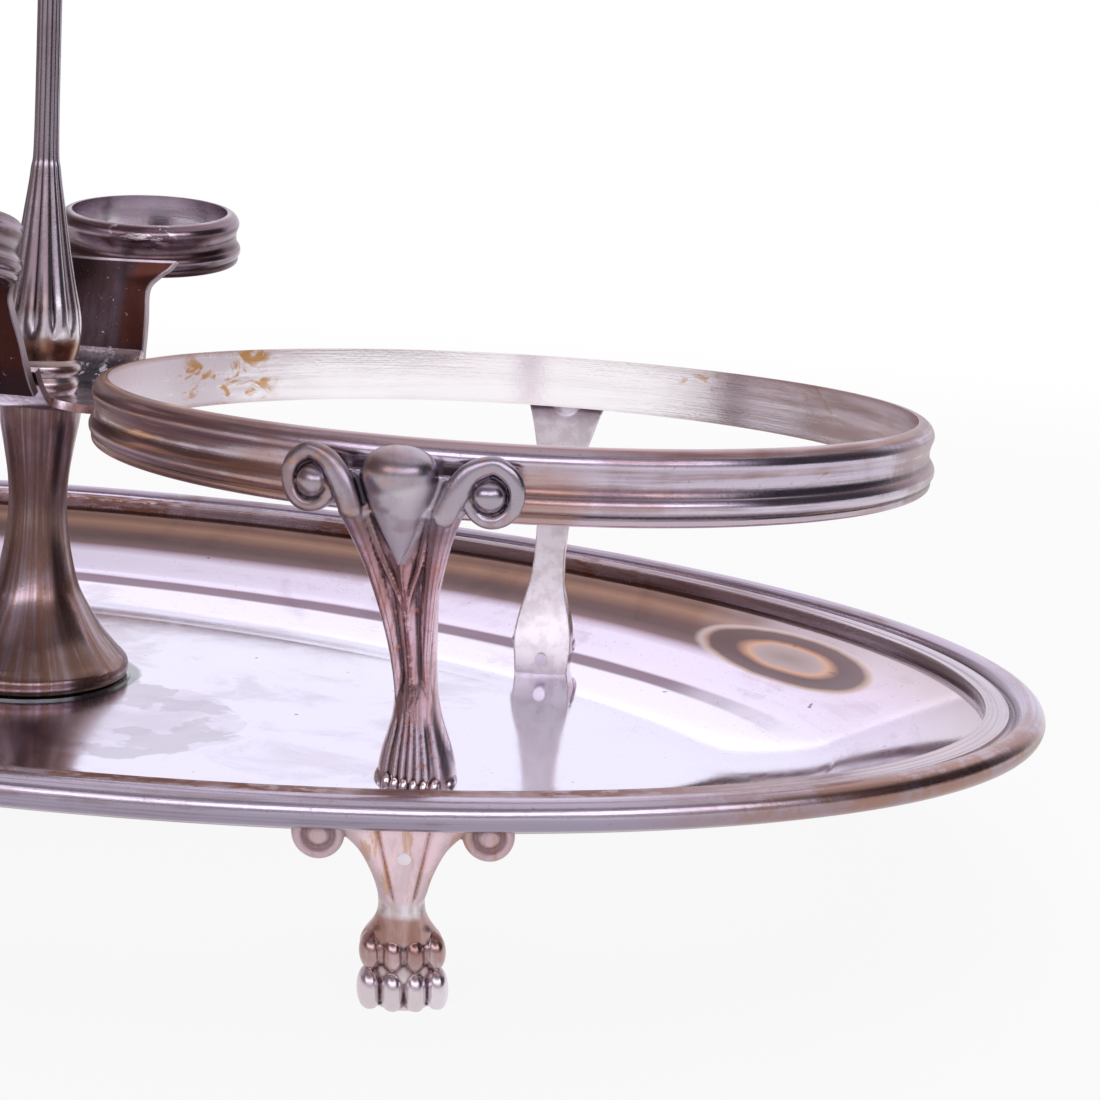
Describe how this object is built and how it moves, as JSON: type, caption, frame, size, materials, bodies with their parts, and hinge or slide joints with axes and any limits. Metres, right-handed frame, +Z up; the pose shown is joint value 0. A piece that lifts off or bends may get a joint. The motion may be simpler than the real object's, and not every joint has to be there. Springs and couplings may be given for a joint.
{
  "type": "cruet stand",
  "caption": "Oval silver-plated cruet stand: footed tray, moulded bottle rings on scrolled legs, stopper rings on straps, column and loop handle.",
  "frame": {"origin": "on the table under the middle of the stand", "axes": "+Z up, +X along the tray through both bottle rings, -Y towards the front"},
  "size_m": [0.2118, 0.121, 0.1706],
  "materials": {
    "tray_silver": "polished silver plate, lightly worn",
    "rim_silver": "silver plate worn to a brown tarnish",
    "foot_silver": "cast silver plate with brown tarnish",
    "pin_silver": "bright filed silver plate",
    "ring_silver": "silver plate with tarnish and brown stains",
    "leg_silver": "cast and polished silver plate, dark in the hollows",
    "column_silver": "turned silver plate with brown tarnish",
    "bridge_silver": "silver plate under heavy brown tarnish",
    "handle_silver": "fluted silver plate with tarnished flutes",
    "rod_brass": "dull brass"
  },
  "bodies": {
    "root": {"tray": "tray_silver", "rim_band": "rim_silver", "foot_front_right": "foot_silver", "foot_front_left": "foot_silver", "foot_back_right": "foot_silver", "foot_back_left": "foot_silver", "foot_pin_front_right": "pin_silver", "foot_pin_front_left": "pin_silver", "foot_pin_back_right": "pin_silver", "foot_pin_back_left": "pin_silver", "bottle_ring_right": "ring_silver", "bottle_ring_left": "ring_silver", "leg_front_right": "leg_silver", "leg_back_right": "leg_silver", "leg_front_left": "leg_silver", "leg_back_left": "leg_silver", "leg_stud_front_right": "rod_brass", "leg_stud_back_right": "rod_brass", "leg_stud_front_left": "rod_brass", "leg_stud_back_left": "rod_brass", "column": "column_silver", "bridge_plate": "bridge_silver", "stopper_strap_front": "bridge_silver", "stopper_strap_back": "bridge_silver", "stopper_ring_front": "ring_silver", "stopper_ring_back": "ring_silver", "stem_washer": "handle_silver", "stem_collar": "handle_silver", "handle_stem": "handle_silver", "handle_knop": "handle_silver", "handle_loop": "handle_silver", "tie_rod": "rod_brass", "base_washer": "rod_brass", "base_nut": "rod_brass"}
  },
  "joints": []
}
